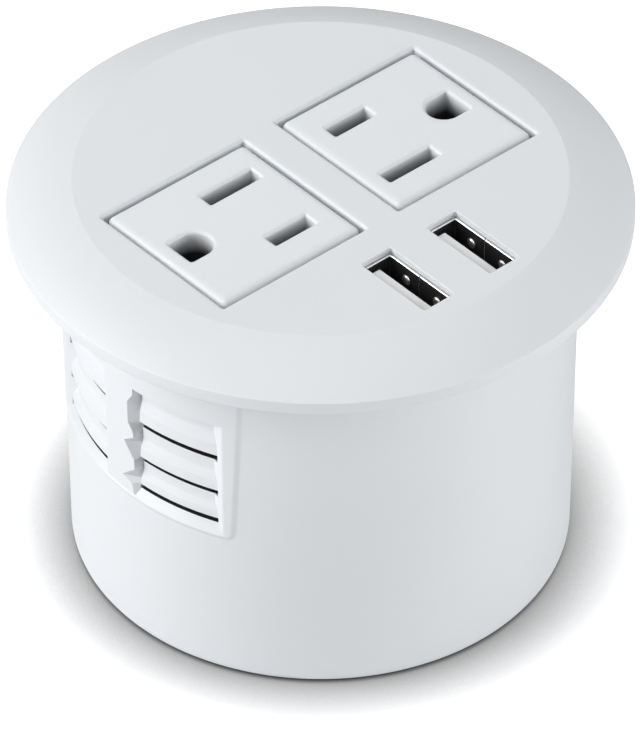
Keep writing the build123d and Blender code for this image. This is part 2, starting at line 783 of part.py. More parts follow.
# USB outlets: folded shell with a seam and two spring bumps, a moulded tongue, and its contacts.
for name, side in sides:
    shell_x = side * usb_offset
    shell_top = module_height - shell_recess
    with BuildPart() as usb_shell:
        with BuildSketch(Plane.XY.offset(usb_board_top)):
            with Locations((shell_x, usb_line)):
                Rectangle(shell_width, shell_length)
                Rectangle(
                    shell_width - 2 * shell_thickness, shell_length - 2 * shell_thickness, mode=Mode.SUBTRACT
                )
        extrude(amount=shell_depth)
        spring_wall = shell_x + shell_width / 2 - shell_thickness
        with BuildSketch(Plane(origin=(spring_wall, usb_line, shell_top), x_dir=(0, 1, 0), z_dir=(-1, 0, 0))):
            with Locations((spring_shift, spring_depth)):
                with GridLocations(spring_spacing, 1, 2, 1):
                    Circle(spring_radius)
        extrude(amount=spring_height)
        bump_rims = usb_shell.edges().filter_by(GeomType.CIRCLE).group_by(Axis.X)[0]
        fillet(bump_rims, radius=spring_height - spring_flat)
        with BuildSketch(Plane.XY.offset(usb_board_top)):
            with Locations((spring_wall + shell_thickness / 2, usb_line)):
                Rectangle(3 * shell_thickness, seam_width)
        extrude(amount=shell_depth, mode=Mode.SUBTRACT)
    usb_shell.part.label = f"usb_shell_{name}"
    export_step(usb_shell.part, f"parts/usb_shell_{name}.step")

    tongue_x = shell_x - shell_width / 2 + shell_thickness + tongue_wall_gap + tongue_thickness / 2
    tongue_top = module_height - tongue_recess
    with BuildPart() as usb_tongue:
        with BuildSketch(Plane.XY.offset(usb_board_top)):
            with Locations((shell_x, usb_line)):
                Rectangle(
                    shell_width - 2 * shell_thickness - 2 * tongue_wall_gap,
                    shell_length - 2 * shell_thickness - 2 * tongue_wall_gap,
                )
        extrude(amount=tongue_base_height)
        with BuildSketch(Plane.XY.offset(usb_board_top)):
            with Locations((tongue_x, usb_line)):
                Rectangle(tongue_thickness, tongue_width)
        extrude(amount=tongue_top - usb_board_top)
    usb_tongue.part.label = f"usb_tongue_{name}"
    export_step(usb_tongue.part, f"parts/usb_tongue_{name}.step")

    with BuildPart() as usb_contacts:
        with BuildSketch(Plane.XY.offset(tongue_top - contact_width - contact_length)):
            with Locations((tongue_x + tongue_thickness / 2 + contact_thickness / 2, usb_line)):
                with GridLocations(1, contact_spacing, 1, contact_count):
                    Rectangle(contact_thickness, contact_width)
        extrude(amount=contact_length)
    usb_contacts.part.label = f"usb_contacts_{name}"
    export_step(usb_contacts.part, f"parts/usb_contacts_{name}.step")


# Small board under the USB outlets.
with BuildPart() as usb_board:
    with BuildSketch(Plane.XY.offset(usb_board_level)):
        with Locations((0, usb_board_middle)):
            RectangleRounded(2 * usb_board_half_width, usb_board_back - usb_board_front, component_round)
        with Locations(*[(0, y) for y in usb_screw_y]):
            Circle(small_screw_radius + seat_clearance, mode=Mode.SUBTRACT)
    extrude(amount=board_thickness)
usb_board.part.label = "usb_board"
export_step(usb_board.part, "parts/usb_board.step")


# Power board on its four standoffs.
with BuildPart() as power_board:
    with BuildSketch(Plane.XY.offset(power_board_level)):
        with Locations((0, power_board_middle)):
            RectangleRounded(power_board_width, power_board_back - power_board_front, component_round)
            with GridLocations(
                power_board_width - 2 * standoff_inset,
                power_board_back - power_board_front - 2 * standoff_inset,
                2,
                2,
            ):
                Circle(small_screw_radius + seat_clearance, mode=Mode.SUBTRACT)
    extrude(amount=board_thickness)
power_board.part.label = "power_board"
export_step(power_board.part, "parts/power_board.step")


# Transformer: a core with two windows, and a winding round its middle limb.
core_middle = transformer_length - 2 * core_limb - 2 * core_window
window_height = transformer_height - 2 * core_limb
with BuildPart() as transformer_core:
    with BuildSketch(Plane.XZ.offset(-transformer_y)):
        with Locations((transformer_x, power_board_top + transformer_height / 2)):
            Rectangle(transformer_length, transformer_height)
            with GridLocations(core_middle + core_window, 1, 2, 1):
                Rectangle(core_window, window_height, mode=Mode.SUBTRACT)
    extrude(amount=core_depth / 2, both=True)
transformer_core.part.label = "transformer_core"
export_step(transformer_core.part, "parts/transformer_core.step")

with BuildPart() as transformer_winding:
    with BuildSketch(Plane.XY.offset(power_board_top + core_limb + winding_clearance)):
        with Locations((transformer_x, transformer_y)):
            winding_length = core_middle + 2 * core_window - 2 * winding_clearance
            RectangleRounded(winding_length, transformer_width, component_round)
            Rectangle(
                core_middle + 2 * winding_clearance, core_depth + 2 * winding_clearance, mode=Mode.SUBTRACT
            )
    extrude(amount=window_height - 2 * winding_clearance)
transformer_winding.part.label = "transformer_winding"
export_step(transformer_winding.part, "parts/transformer_winding.step")


def can_capacitor(places, radius, height):
    """Upright round cans with a rounded top edge, standing on the power board."""
    with BuildPart() as cans:
        with BuildSketch(Plane.XY.offset(power_board_top)):
            with Locations(*places):
                Circle(radius)
        extrude(amount=height)
        fillet(cans.edges().filter_by(GeomType.CIRCLE).group_by(Axis.Z)[-1], radius=component_round)
    return cans.part


bulk_capacitor = can_capacitor([(bulk_x, bulk_y)], bulk_radius, bulk_height)
bulk_capacitor.label = "bulk_capacitor"
export_step(bulk_capacitor, "parts/bulk_capacitor.step")
output_capacitors = can_capacitor([(output_x, y) for y in output_ys], output_radius, output_height)
output_capacitors.label = "output_capacitors"
export_step(output_capacitors, "parts/output_capacitors.step")


def board_block(x, y, length, width, height):
    """Moulded component with rounded upper edges, standing on the power board."""
    with BuildPart() as block:
        with BuildSketch(Plane.XY.offset(power_board_top)):
            with Locations((x, y)):
                Rectangle(length, width)
        extrude(amount=height)
        fillet(block.edges().filter_by(Axis.Z, reverse=True).group_by(Axis.Z)[-1], radius=component_round)
    return block.part


film_capacitor = board_block(film_x, film_y, film_length, film_width, film_height)
film_capacitor.label = "film_capacitor"
export_step(film_capacitor, "parts/film_capacitor.step")
fuse = board_block(fuse_x, fuse_y, fuse_length, fuse_width, fuse_height)
fuse.label = "fuse"
export_step(fuse, "parts/fuse.step")
bridge_rectifier = board_block(rectifier_x, rectifier_y, rectifier_length, rectifier_width, rectifier_height)
bridge_rectifier.label = "bridge_rectifier"
export_step(bridge_rectifier, "parts/bridge_rectifier.step")


# Choke: a turned core with two cheeks, and its winding between them.
with BuildPart() as choke_core:
    with BuildSketch(Plane.XY.offset(power_board_top)):
        with Locations((choke_x, choke_y)):
            Circle(choke_core_radius)
    extrude(amount=choke_height)
    for cheek_level in (power_board_top, power_board_top + choke_height - choke_cheek):
        with BuildSketch(Plane.XY.offset(cheek_level)):
            with Locations((choke_x, choke_y)):
                Circle(choke_radius)
        extrude(amount=choke_cheek)
choke_core.part.label = "choke_core"
export_step(choke_core.part, "parts/choke_core.step")

with BuildPart() as choke_winding:
    with BuildSketch(Plane.XY.offset(power_board_top + choke_cheek)):
        with Locations((choke_x, choke_y)):
            Circle(choke_radius - component_round)
            Circle(choke_core_radius + seat_clearance, mode=Mode.SUBTRACT)
    extrude(amount=choke_height - 2 * choke_cheek)
choke_winding.part.label = "choke_winding"
export_step(choke_winding.part, "parts/choke_winding.step")


def mains_lead(x, level):
    """Insulated lead soldered under a bar's tab and to the power board, with two tangent bends."""
    route = [
        (x, mains_lead_line, level),
        (x, mains_lead_line, mains_lead_height),
        (x, mains_lead_landing, mains_lead_height),
        (x, mains_lead_landing, power_board_top),
    ]
    with BuildPart() as lead:
        with BuildLine():
            FilletPolyline(*route, radius=mains_lead_bend)
        with BuildSketch(Plane(origin=route[0], x_dir=(1, 0, 0), z_dir=(0, 0, -1))):
            Circle(mains_lead_radius)
        sweep()
    return lead.part


line_lead = mains_lead(hot_x, bar_level)
line_lead.label = "line_lead"
export_step(line_lead, "parts/line_lead.step")
neutral_lead = mains_lead(neutral_x, neutral_level)
neutral_lead.label = "neutral_lead"
export_step(neutral_lead, "parts/neutral_lead.step")

for name, side in (("positive", 1), ("negative", -1)):
    with BuildPart() as usb_lead:
        with BuildSketch(Plane.XY.offset(power_board_top)):
            with Locations((side * usb_lead_x, usb_lead_y)):
                Circle(usb_lead_radius)
        extrude(amount=usb_board_level - power_board_top)
    usb_lead.part.label = f"usb_lead_{name}"
    export_step(usb_lead.part, f"parts/usb_lead_{name}.step")


# Cord bush: sits in the floor's hole with its flange inside, flush with the base below.
with BuildPart() as cord_bush:
    with BuildSketch(Plane.XY.offset(gland_recess)):
        with Locations((0, gland_y)):
            Circle(gland_neck_radius)
    extrude(amount=cup_floor - gland_recess)
    with BuildSketch(Plane.XY.offset(cup_floor)):
        with Locations((0, gland_y)):
            Circle(gland_flange_radius)
    extrude(amount=gland_flange_thickness)
    with BuildSketch(Plane.XY.offset(gland_recess)):
        with Locations((0, gland_y)):
            Circle(gland_bore_radius)
    extrude(amount=cup_floor + gland_flange_thickness - gland_recess, mode=Mode.SUBTRACT)
cord_bush.part.label = "cord_bush"
export_step(cord_bush.part, "parts/cord_bush.step")


# Strain relief collar on its two posts, in line with the bush.
with BuildPart() as cord_collar:
    with BuildSketch(Plane.XY.offset(clamp_post_top)):
        with Locations((0, gland_y)):
            SlotCenterToCenter(2 * clamp_post_x, collar_width)
            Circle(collar_radius)
            Circle(gland_bore_radius, mode=Mode.SUBTRACT)
        with Locations((-clamp_post_x, gland_y), (clamp_post_x, gland_y)):
            Circle(small_screw_radius + seat_clearance, mode=Mode.SUBTRACT)
    extrude(amount=collar_thickness)
cord_collar.part.label = "cord_collar"
export_step(cord_collar.part, "parts/cord_collar.step")
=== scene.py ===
import json
from math import cos, pi, radians, sin

import bmesh
import bpy
import numpy as np
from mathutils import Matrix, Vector
from mathutils.geometry import delaunay_2d_cdt


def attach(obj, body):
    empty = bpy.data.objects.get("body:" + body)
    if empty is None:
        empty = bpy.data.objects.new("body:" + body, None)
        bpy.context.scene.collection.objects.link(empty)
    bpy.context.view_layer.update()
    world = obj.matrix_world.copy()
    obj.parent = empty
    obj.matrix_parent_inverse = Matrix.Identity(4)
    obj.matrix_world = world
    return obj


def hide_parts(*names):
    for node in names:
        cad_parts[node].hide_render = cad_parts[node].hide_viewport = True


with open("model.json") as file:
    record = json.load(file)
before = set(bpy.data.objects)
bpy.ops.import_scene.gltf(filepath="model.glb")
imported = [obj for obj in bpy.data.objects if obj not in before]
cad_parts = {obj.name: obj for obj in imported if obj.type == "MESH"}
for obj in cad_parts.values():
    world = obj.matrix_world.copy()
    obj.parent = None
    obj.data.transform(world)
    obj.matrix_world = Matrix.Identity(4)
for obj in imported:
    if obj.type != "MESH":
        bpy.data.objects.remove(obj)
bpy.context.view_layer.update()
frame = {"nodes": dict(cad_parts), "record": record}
cad = frame["nodes"]
scene = bpy.context.scene
scene.view_settings.view_transform = "Standard"


# Camera: a long lens that looks down on the module from its USB side, as the photograph was taken.
# The aim point lies just in front of the cup's axis, a little below the top face.
camera_azimuth = radians(41.22)
camera_elevation = radians(40.455)
camera_distance = 1.0596
camera_aim = Vector((-0.00894, -0.01008, 0.0390))
camera_lens = 420.77
sensor_width = 36.0

towards_camera = Vector((
    -sin(camera_azimuth) * cos(camera_elevation),
    -cos(camera_azimuth) * cos(camera_elevation),
    sin(camera_elevation),
))
camera = bpy.data.objects.new("camera", bpy.data.cameras.new("camera"))
camera.location = camera_aim + towards_camera * camera_distance
camera.rotation_euler = (-towards_camera).to_track_quat("-Z", "Y").to_euler()
camera.data.lens = camera_lens
camera.data.sensor_width = sensor_width
camera.data.sensor_fit = "HORIZONTAL"
scene.collection.objects.link(camera)
scene.camera = camera


# Softboxes of a small studio: strong ones on the left, a strong low one on the right, and weaker ones in
# front, above and behind. Each stands on a sphere round the module and faces it.
softboxes = {
    "left": (150.0, 30.0, 6.2),
    "far_left": (165.0, 12.0, 1.85),
    "front": (-125.0, 45.0, 1.6),
    "right": (-60.0, 8.0, 6.7),
    "above": (20.0, 84.0, 1.45),
    "behind": (50.0, 40.0, 1.65),
}
softbox_distance = 0.9
softbox_side = 0.6
lit_point = Vector((0.0, 0.0, 0.03))
room_light = 0.02


def softbox(name, azimuth, elevation, power):
    """Square area lamp at the given direction from the module's middle, turned to face it."""
    a, e = radians(azimuth), radians(elevation)
    direction = Vector((cos(a) * cos(e), sin(a) * cos(e), sin(e)))
    lamp = bpy.data.objects.new("softbox_" + name, bpy.data.lights.new("softbox_" + name, "AREA"))
    lamp.data.shape = "SQUARE"
    lamp.data.size = softbox_side
    lamp.data.energy = power
    lamp.location = lit_point + direction * softbox_distance
    lamp.rotation_euler = (-direction).to_track_quat("-Z", "Y").to_euler()
    scene.collection.objects.link(lamp)


for name, (azimuth, elevation, power) in softboxes.items():
    softbox(name, azimuth, elevation, power)

# The room is white wherever the camera or a reflection meets it, and an even grey for all other light.
world = bpy.data.worlds.new("room")
scene.world = world
world.use_nodes = True
world.node_tree.nodes.clear()
room = world.node_tree.nodes
seen = room.new("ShaderNodeBackground")
seen.inputs["Strength"].default_value = 1.0
unseen = room.new("ShaderNodeBackground")
unseen.inputs["Strength"].default_value = room_light
path = room.new("ShaderNodeLightPath")
looks = room.new("ShaderNodeMath")
looks.operation = "ADD"
looks_or_through = room.new("ShaderNodeMath")
looks_or_through.operation = "ADD"
looks_or_through.use_clamp = True
choice = room.new("ShaderNodeMixShader")
world_out = room.new("ShaderNodeOutputWorld")
world.node_tree.links.new(path.outputs["Is Camera Ray"], looks.inputs[0])
world.node_tree.links.new(path.outputs["Is Glossy Ray"], looks.inputs[1])
world.node_tree.links.new(looks.outputs[0], looks_or_through.inputs[0])
world.node_tree.links.new(path.outputs["Is Transmission Ray"], looks_or_through.inputs[1])
world.node_tree.links.new(looks_or_through.outputs[0], choice.inputs[0])
world.node_tree.links.new(unseen.outputs[0], choice.inputs[1])
world.node_tree.links.new(seen.outputs[0], choice.inputs[2])
world.node_tree.links.new(choice.outputs[0], world_out.inputs["Surface"])


# Floor: a sheet of white paper under the module. It glows to the camera so that it stays white. Near the
# module an occlusion mask
# darkens its colour and its glow: a painted contact shadow, on top of the shadows that the lamps cast.
floor_reach = 3.0
floor_glow = 0.82
contact_reach = 0.016
contact_samples = 8
contact_falloff = 2.0
floor_corners = ((-1, -1), (1, -1), (1, 1), (-1, 1))
floor_color = (0.80, 0.80, 0.81, 1.0)

floor_mesh = bpy.data.meshes.new("floor")
floor_mesh.from_pydata([(x * floor_reach, y * floor_reach, 0) for x, y in floor_corners], [], [(0, 1, 2, 3)])
floor = bpy.data.objects.new("floor", floor_mesh)
scene.collection.objects.link(floor)
paper = bpy.data.materials.new("white_paper")
paper.use_nodes = True
paper.node_tree.nodes.clear()
sheet = paper.node_tree.nodes
diffuse = sheet.new("ShaderNodeBsdfDiffuse")
glow = sheet.new("ShaderNodeEmission")
paper_path = sheet.new("ShaderNodeLightPath")
glow_level = sheet.new("ShaderNodeMath")
glow_level.operation = "MULTIPLY"
glow_level.inputs[1].default_value = floor_glow
# Painted contact shadow: the occlusion, raised to a power, darkens the paper's colour and its glow near the
# module.
contact = sheet.new("ShaderNodeAmbientOcclusion")
contact.samples = contact_samples
contact.inputs["Distance"].default_value = contact_reach
contact_depth = sheet.new("ShaderNodeMath")
contact_depth.operation = "POWER"
contact_depth.inputs[1].default_value = contact_falloff
painted_shadow_paper = sheet.new("ShaderNodeMix")
painted_shadow_paper.data_type = "RGBA"
painted_shadow_paper.inputs["A"].default_value = (0.0, 0.0, 0.0, 1.0)
painted_shadow_paper.inputs["B"].default_value = floor_color
seen_paper = sheet.new("ShaderNodeMix")
seen_paper.data_type = "RGBA"
seen_paper.inputs["A"].default_value = floor_color
painted_shadow_glow = sheet.new("ShaderNodeMath")
painted_shadow_glow.operation = "MULTIPLY"
both = sheet.new("ShaderNodeAddShader")
paper_out = sheet.new("ShaderNodeOutputMaterial")
paper.node_tree.links.new(paper_path.outputs["Is Camera Ray"], glow_level.inputs[0])
paper.node_tree.links.new(glow_level.outputs[0], painted_shadow_glow.inputs[0])
paper.node_tree.links.new(contact.outputs["AO"], contact_depth.inputs[0])
paper.node_tree.links.new(contact_depth.outputs[0], painted_shadow_glow.inputs[1])
paper.node_tree.links.new(painted_shadow_glow.outputs[0], glow.inputs["Strength"])
paper.node_tree.links.new(contact_depth.outputs[0], painted_shadow_paper.inputs["Factor"])
paper.node_tree.links.new(paper_path.outputs["Is Camera Ray"], seen_paper.inputs["Factor"])
paper.node_tree.links.new(painted_shadow_paper.outputs["Result"], seen_paper.inputs["B"])
paper.node_tree.links.new(seen_paper.outputs["Result"], diffuse.inputs["Color"])
paper.node_tree.links.new(diffuse.outputs[0], both.inputs[0])
paper.node_tree.links.new(glow.outputs[0], both.inputs[1])
paper.node_tree.links.new(both.outputs[0], paper_out.inputs["Surface"])
floor_mesh.materials.append(paper)


# Top plate: the round flange that rests on the desk, injection moulded in a cool white plastic.
# One piece with its two outlet pockets, the wells round the USB outlets and the screw posts below.
module_height = 64.0
flat_radius = 35.1
flange_radius = 44.5
bevel_foot = 59.6
bevel_bulge = 0.35
rim_foot = 57.4
spigot_outer, spigot_inner, spigot_foot = 34.65, 33.05, 54.4
plate_underside = 61.5
outlet_x = 16.15
pocket_half, pocket_wall, pocket_foot, pocket_round = 13.1, 1.6, 54.0, 0.65
pocket_corner, usb_corner = 0.15, 0.2
usb_x, usb_y = 6.1, -25.2
usb_half_x, usb_half_y, usb_skirt, usb_skirt_foot, usb_round = 2.75, 6.6, 0.8, 58.0, 0.18
ring_steps = 240
post_steps, bevel_steps = 40, 13
crease_angle = 32.0
axis_radius = 1e-4
post_circle, post_angles, post_head = 30.0, (90, 222, 318), 62.5
post_spots = [(post_circle * cos(radians(a)), post_circle * sin(radians(a))) for a in post_angles]
carrier_post_spots = [(x, y) for x in (-14.0, 14.0) for y in (-18.0, 18.0)]
usb_post_spots = [(0, y) for y in (-20.5, -30.0)]


def rounded_rectangle(half_x, half_y, corners, centre=(0.0, 0.0), steps=6):
    """Loop of a rectangle whose four corners are quarter circles: corner centre + radius * (cos a, sin a)."""
    quarter = np.linspace(0, pi / 2, steps)
    signs = ((1, 1), (-1, 1), (-1, -1), (1, -1))
    arcs = []
    for turn, ((sx, sy), radius) in enumerate(zip(signs, corners)):
        a = quarter + turn * pi / 2
        middle = np.array([sx * (half_x - radius), sy * (half_y - radius)])
        arcs.append(middle + radius * np.stack([np.cos(a), np.sin(a)], axis=1))
    return np.concatenate(arcs) + np.array(centre)


def circle(radius, centre=(0.0, 0.0), steps=ring_steps):
    """Loop of a circle: centre + radius * (cos a, sin a), with a in equal steps."""
    a = np.arange(steps) * 2 * pi / steps
    return np.array(centre) + radius * np.stack([np.cos(a), np.sin(a)], axis=1)


def rounded_profile(corners, steps=6):
    """Line through (across, height, rounding) corners; each corner with a rounding becomes an arc that
    touches both of its runs, whose centre lies rounding / sin(half angle) along the corner's bisector."""
    corners = np.array(corners, float)
    points = [corners[:1, :2]]
    for before, here, after in zip(corners[:-2], corners[1:-1], corners[2:]):
        rounding = here[2]
        if rounding == 0:
            points.append(here[None, :2])
            continue
        u = (before[:2] - here[:2]) / np.linalg.norm(before[:2] - here[:2])
        v = (after[:2] - here[:2]) / np.linalg.norm(after[:2] - here[:2])
        half = np.arccos(np.clip(u @ v, -1, 1)) / 2
        bisector = (u + v) / np.linalg.norm(u + v)
        middle = here[:2] + bisector * rounding / np.sin(half)
        start = here[:2] + u * rounding / np.tan(half) - middle
        end = here[:2] + v * rounding / np.tan(half) - middle
        t = np.linspace(0, 1, steps)[:, None]
        sweep = pi - 2 * half
        arc = (np.sin((1 - t) * sweep) * start + np.sin(t * sweep) * end) / np.sin(sweep)
        points.append(middle + arc)
    points.append(corners[-1:, :2])
    return np.concatenate(points)


def at_height(loop, height):
    """Loop of (x, y) points lifted to one height."""
    return np.column_stack([loop, np.full(len(loop), height)])


def skin(loops):
    """Quads between each closed loop and the next: point i of one loop joins point i of the next."""
    loops = np.asarray(loops, float)
    rows, count = loops.shape[:2]
    here = np.arange(rows - 1)[:, None] * count + np.arange(count)
    following = np.arange(rows - 1)[:, None] * count + (np.arange(count) + 1) % count
    faces = np.stack([here, following, following + count, here + count], axis=-1).reshape(-1, 4)
    return loops.reshape(-1, 3), faces.tolist()


def inside(points, loop):
    """True for points inside a closed loop: a line from the point crosses the loop an odd number of times."""
    x1, y1 = loop.T
    x2, y2 = np.roll(loop, -1, axis=0).T
    px, py = points[:, :1], points[:, 1:]
    spans = (y1 > py) != (y2 > py)
    rise = np.where(y2 == y1, 1e-12, y2 - y1)
    return (spans & (px < (x2 - x1) * (py - y1) / rise + x1)).sum(axis=1) % 2 == 1


def flat_face(outer, holes, height):
    """Flat face inside the outer loop and outside its holes: Delaunay triangles that keep every loop edge."""
    edges, points, start = [], [], 0
    for loop in [outer] + holes:
        count = len(loop)
        edges += [(start + i, start + (i + 1) % count) for i in range(count)]
        points += [Vector(p) for p in loop]
        start += count
    found, _, triangles, *_ = delaunay_2d_cdt(points, edges, [], 0, 1e-6)
    found = np.array([tuple(p) for p in found])
    triangles = np.array(triangles)
    middles = found[triangles].mean(axis=1)
    keep = inside(middles, outer)
    for hole in holes:
        keep &= ~inside(middles, hole)
    return at_height(found, height), triangles[keep].tolist()


def turned(profile, centre=(0.0, 0.0), steps=ring_steps):
    """Surface of revolution: the profile's (radius, height) points, each carried round an upright axis."""
    return skin([at_height(circle(radius, centre, steps), height) for radius, height in profile])


def piece_from(name, parts, material, nodes, lining=None):
    """One closed mesh from several skins in millimetres: joined, doubles merged, faces turned outwards.
    A part with a third item of 1 takes the lining in place of the material; every lining here is a darker
    colour of painted shade."""
    points, faces, coats, start = [], [], [], 0
    for part_points, part_faces, *coat in parts:
        points.append(part_points)
        faces += [tuple(start + i for i in face) for face in part_faces]
        coats += [coat[0] if coat else 0] * len(part_faces)
        start += len(part_points)
    mesh = bpy.data.meshes.new(name)
    mesh.from_pydata((np.concatenate(points) * 0.001).tolist(), [], faces)
    mesh.materials.append(material)
    if lining:
        mesh.materials.append(lining)
    mesh.polygons.foreach_set("material_index", coats)
    work = bmesh.new()
    work.from_mesh(mesh)
    bmesh.ops.remove_doubles(work, verts=work.verts, dist=2e-6)
    bmesh.ops.recalc_face_normals(work, faces=work.faces)
    work.to_mesh(mesh)
    work.free()
    mesh.shade_smooth()
    mesh.set_sharp_from_angle(angle=radians(crease_angle))
    piece = bpy.data.objects.new(name, mesh)
    scene.collection.objects.link(piece)
    weighted = piece.modifiers.new("even_normals", "WEIGHTED_NORMAL")
    weighted.keep_sharp = True
    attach(piece, "root")
    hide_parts(*nodes)


def node_group(name, inputs, outputs):
    """Empty shader node group with named sockets, and its input and output nodes."""
    group = bpy.data.node_groups.new(name, "ShaderNodeTree")
    for socket, kind, value in inputs:
        made = group.interface.new_socket(name=socket, in_out="INPUT", socket_type=kind)
        if value is not None:
            made.default_value = value
    for socket, kind in outputs:
        group.interface.new_socket(name=socket, in_out="OUTPUT", socket_type=kind)
    return group, group.nodes.new("NodeGroupInput"), group.nodes.new("NodeGroupOutput")


# Skin of a moulding: fine spark-etched grain, slow changes of tone and a roughness that wanders a little.
moulded_skin, into, out_of = node_group(
    "moulded_skin",
    [
        ("Color", "NodeSocketColor", (0.8, 0.8, 0.8, 1.0)),
        ("Grain", "NodeSocketFloat", 3500.0),
        ("Depth", "NodeSocketFloat", 0.1),
        ("Tone", "NodeSocketFloat", 0.02),
        ("Roughness", "NodeSocketFloat", 0.4),
    ],
    [("Color", "NodeSocketColor"), ("Roughness", "NodeSocketFloat"), ("Normal", "NodeSocketVector")],
)
made = moulded_skin.nodes
wire = moulded_skin.links.new
place = made.new("ShaderNodeTexCoord")
grain = made.new("ShaderNodeTexNoise")
grain.inputs["Detail"].default_value = 3.0
wire(place.outputs["Object"], grain.inputs["Vector"])
wire(into.outputs["Grain"], grain.inputs["Scale"])
relief = made.new("ShaderNodeBump")
relief.inputs["Distance"].default_value = 0.00006
wire(grain.outputs[0], relief.inputs["Height"])
wire(into.outputs["Depth"], relief.inputs["Strength"])
wire(relief.outputs[0], out_of.inputs["Normal"])
cloud = made.new("ShaderNodeTexNoise")
cloud.inputs["Scale"].default_value = 45.0
cloud.inputs["Detail"].default_value = 4.0
wire(place.outputs["Object"], cloud.inputs["Vector"])
shade = made.new("ShaderNodeMapRange")
shade.inputs["To Min"].default_value = 1.0
lower = made.new("ShaderNodeMath")
lower.operation = "SUBTRACT"
lower.inputs[0].default_value = 1.0
wire(into.outputs["Tone"], lower.inputs[1])
wire(lower.outputs[0], shade.inputs["To Max"])
wire(cloud.outputs[0], shade.inputs["Value"])
tint = made.new("ShaderNodeVectorMath")
tint.operation = "SCALE"
wire(into.outputs["Color"], tint.inputs[0])
wire(shade.outputs[0], tint.inputs["Scale"])
wire(tint.outputs[0], out_of.inputs["Color"])
polish = made.new("ShaderNodeMath")
polish.operation = "MULTIPLY_ADD"
polish.inputs[1].default_value = 0.10
wire(cloud.outputs[0], polish.inputs[0])
wire(into.outputs["Roughness"], polish.inputs[2])
wire(polish.outputs[0], out_of.inputs["Roughness"])


def moulded(name, color, roughness=0.38, grain_scale=3500.0, depth=0.10, tone=0.02):
    """Material of a plastic moulding, with the moulded skin's grain at its own scale and depth."""
    material = bpy.data.materials.new(name)
    material.use_nodes = True
    nodes, links = material.node_tree.nodes, material.node_tree.links
    shader = nodes["Principled BSDF"]
    surface = nodes.new("ShaderNodeGroup")
    surface.node_tree = moulded_skin
    surface.inputs["Color"].default_value = (*color, 1.0)
    surface.inputs["Grain"].default_value = grain_scale
    surface.inputs["Depth"].default_value = depth
    surface.inputs["Tone"].default_value = tone
    surface.inputs["Roughness"].default_value = roughness
    links.new(surface.outputs["Color"], shader.inputs["Base Color"])
    links.new(surface.outputs["Roughness"], shader.inputs["Roughness"])
    links.new(surface.outputs["Normal"], shader.inputs["Normal"])
    return material


housing_white = moulded("housing_white", (0.74, 0.765, 0.785))

bevel_share = np.linspace(0, 1, bevel_steps)[1:-1]
bevel_line = [
    (
        flat_radius + t * (flange_radius - flat_radius) + 4 * t * (1 - t) * bevel_bulge,
        module_height - t * (module_height - bevel_foot) + 4 * t * (1 - t) * bevel_bulge,
        0,
    )
    for t in bevel_share
]
flange_profile = rounded_profile(
    [(flat_radius - 1.0, module_height, 0), (flat_radius, module_height, 0.5)]
    + bevel_line
    + [
        (flange_radius, bevel_foot, 0.25), (flange_radius, rim_foot, 0.45), (spigot_outer, rim_foot, 0.2),
        (spigot_outer, spigot_foot, 0.3), (spigot_inner, spigot_foot, 0.3),
        (spigot_inner, plate_underside, 0),
    ]
)
pocket_profile = rounded_profile([
    (pocket_round + 0.4, module_height, 0), (0, module_height, pocket_round), (0, pocket_foot, 0.15),
    (pocket_wall, pocket_foot, 0.15), (pocket_wall, plate_underside, 0),
])
usb_profile = rounded_profile([
    (usb_round + 0.1, module_height, 0), (0, module_height, usb_round), (0, usb_skirt_foot, 0.1),
    (usb_skirt, usb_skirt_foot, 0.1), (usb_skirt, plate_underside, 0),
])


def pocket_loop(side, spread):
    """Square loop of one outlet pocket, moved outwards by spread."""
    half = pocket_half + spread
    return rounded_rectangle(half, half, [pocket_corner + max(spread, 0)] * 4, (side * outlet_x, 0))


def usb_loop(side, spread):
    """Oblong loop of one USB opening, moved outwards by spread."""
    corner = usb_corner + max(spread, 0)
    return rounded_rectangle(usb_half_x + spread, usb_half_y + spread, [corner] * 4, (side * usb_x, usb_y))


def screw_post(spot, foot, radius, hole_radius, hole_depth):
    """Closed screw post that hangs from the plate: a tube whose hole ends inside it."""
    hole_head = foot + hole_depth
    return turned([
        (axis_radius, post_head), (radius, post_head), (radius, foot), (hole_radius, foot),
        (hole_radius, hole_head), (axis_radius, hole_head),
    ], spot, post_steps)


plate_parts = [turned(flange_profile)]
top_holes, under_holes = [], []
for side in (-1, 1):
    for loop_at, profile in ((pocket_loop, pocket_profile), (usb_loop, usb_profile)):
        plate_parts.append(skin([at_height(loop_at(side, spread), height) for spread, height in profile]))
        top_holes.append(loop_at(side, profile[0][0]))
        under_holes.append(loop_at(side, profile[-1][0]))
plate_parts.append(flat_face(circle(flange_profile[0][0]), top_holes, module_height))
plate_parts.append(flat_face(circle(spigot_inner), under_holes, plate_underside))
# Each set of screw posts below the plate has its spots, foot, radius, hole radius and hole depth.
screw_posts = (
    (post_spots, 12.0, 3.2, 1.55, 13.0),
    (carrier_post_spots, 52.4, 2.6, 1.05, 6.0),
    (usb_post_spots, 49.4, 2.3, 1.05, 6.0),
)
for spots, *sizes in screw_posts:
    for spot in spots:
        plate_parts.append(screw_post(spot, *sizes))
piece_from("flange_plate", plate_parts, housing_white, ["top_plate"])
